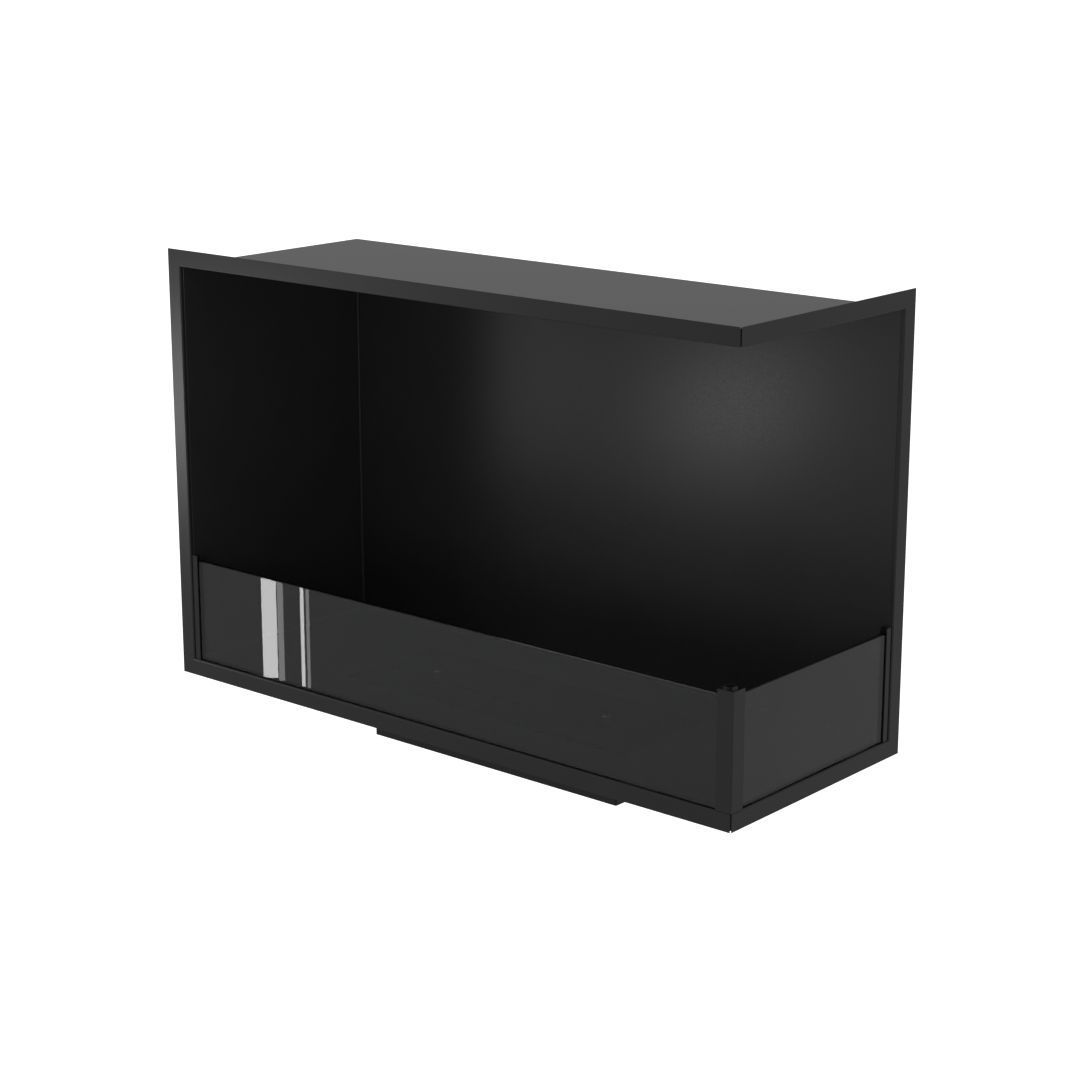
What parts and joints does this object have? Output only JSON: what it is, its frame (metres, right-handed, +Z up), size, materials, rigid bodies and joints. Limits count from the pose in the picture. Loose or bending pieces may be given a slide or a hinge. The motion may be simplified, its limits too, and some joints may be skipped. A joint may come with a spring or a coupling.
{
  "type": "corner fireplace insert",
  "caption": "Black sheet-steel bioethanol fireplace insert, open at the front and right, with low glass windscreens, face frames and a drop-in burner.",
  "frame": {"origin": "on the ground under the middle of the bounding box, level with the underside of the burner compartment", "axes": "+X runs right along the front opening, the front faces -Y, +Z is up"},
  "size_m": [1.025, 0.39, 0.708],
  "materials": {
    "black_steel": "fine-textured black powder coat, semi-matt",
    "burner_black": "matt black heat-resistant paint",
    "clear_glass": "clear toughened glass with polished edges",
    "black_silicone": "matt black silicone",
    "stainless_steel": "brushed stainless steel",
    "zinc_steel": "bright zinc plating",
    "ceramic_fibre": "white needled ceramic fibre"
  },
  "bodies": {
    "firebox": {"top_panel": "black_steel", "back_panel": "black_steel", "left_side_panel": "black_steel", "floor_panel": "black_steel", "front_face_frame": "black_steel", "side_face_frame": "black_steel", "upper_corner_cleat": "black_steel", "lower_corner_cleat": "black_steel", "burner_compartment": "black_steel", "left_glass_channel": "black_steel", "rear_glass_channel": "black_steel", "corner_post_angle": "black_steel", "corner_post_tube": "black_steel", "corner_post_foot": "black_steel", "left_channel_rivet_lower": "black_steel", "left_channel_rivet_upper": "black_steel", "rear_channel_rivet_lower": "black_steel", "rear_channel_rivet_upper": "black_steel", "left_glazing_strip": "black_silicone", "rear_glazing_strip": "black_silicone", "corner_front_glazing_strip": "black_silicone", "corner_side_glazing_strip": "black_silicone", "front_setting_block_left": "black_silicone", "front_setting_block_right": "black_silicone", "side_setting_block_near": "black_silicone", "side_setting_block_far": "black_silicone", "corner_post_screw": "zinc_steel", "corner_post_nut": "zinc_steel"},
    "front_glass": {"front_glass_pane": "clear_glass"},
    "side_glass": {"side_glass_pane": "clear_glass"},
    "burner": {"burner_cover_plate": "burner_black", "burner_tank": "stainless_steel", "ceramic_fibre_pad": "ceramic_fibre"},
    "lid": {"snuffer_lid": "burner_black", "left_lid_knob": "stainless_steel", "right_lid_knob": "stainless_steel", "left_knob_screw": "zinc_steel", "right_knob_screw": "zinc_steel"}
  },
  "joints": [
    {"name": "front_glass_lift", "type": "slide", "parent": "firebox", "child": "front_glass", "axis": [0, 0, 1], "range_m": [0, 0.165]},
    {"name": "side_glass_lift", "type": "slide", "parent": "firebox", "child": "side_glass", "axis": [0, 0, 1], "range_m": [0, 0.165]},
    {"name": "burner_lift", "type": "slide", "parent": "firebox", "child": "burner", "axis": [0, 0, 1], "range_m": [0, 0.24]},
    {"name": "lid_lift", "type": "slide", "parent": "burner", "child": "lid", "axis": [0, 0, 1], "range_m": [0, 0.165]}
  ]
}
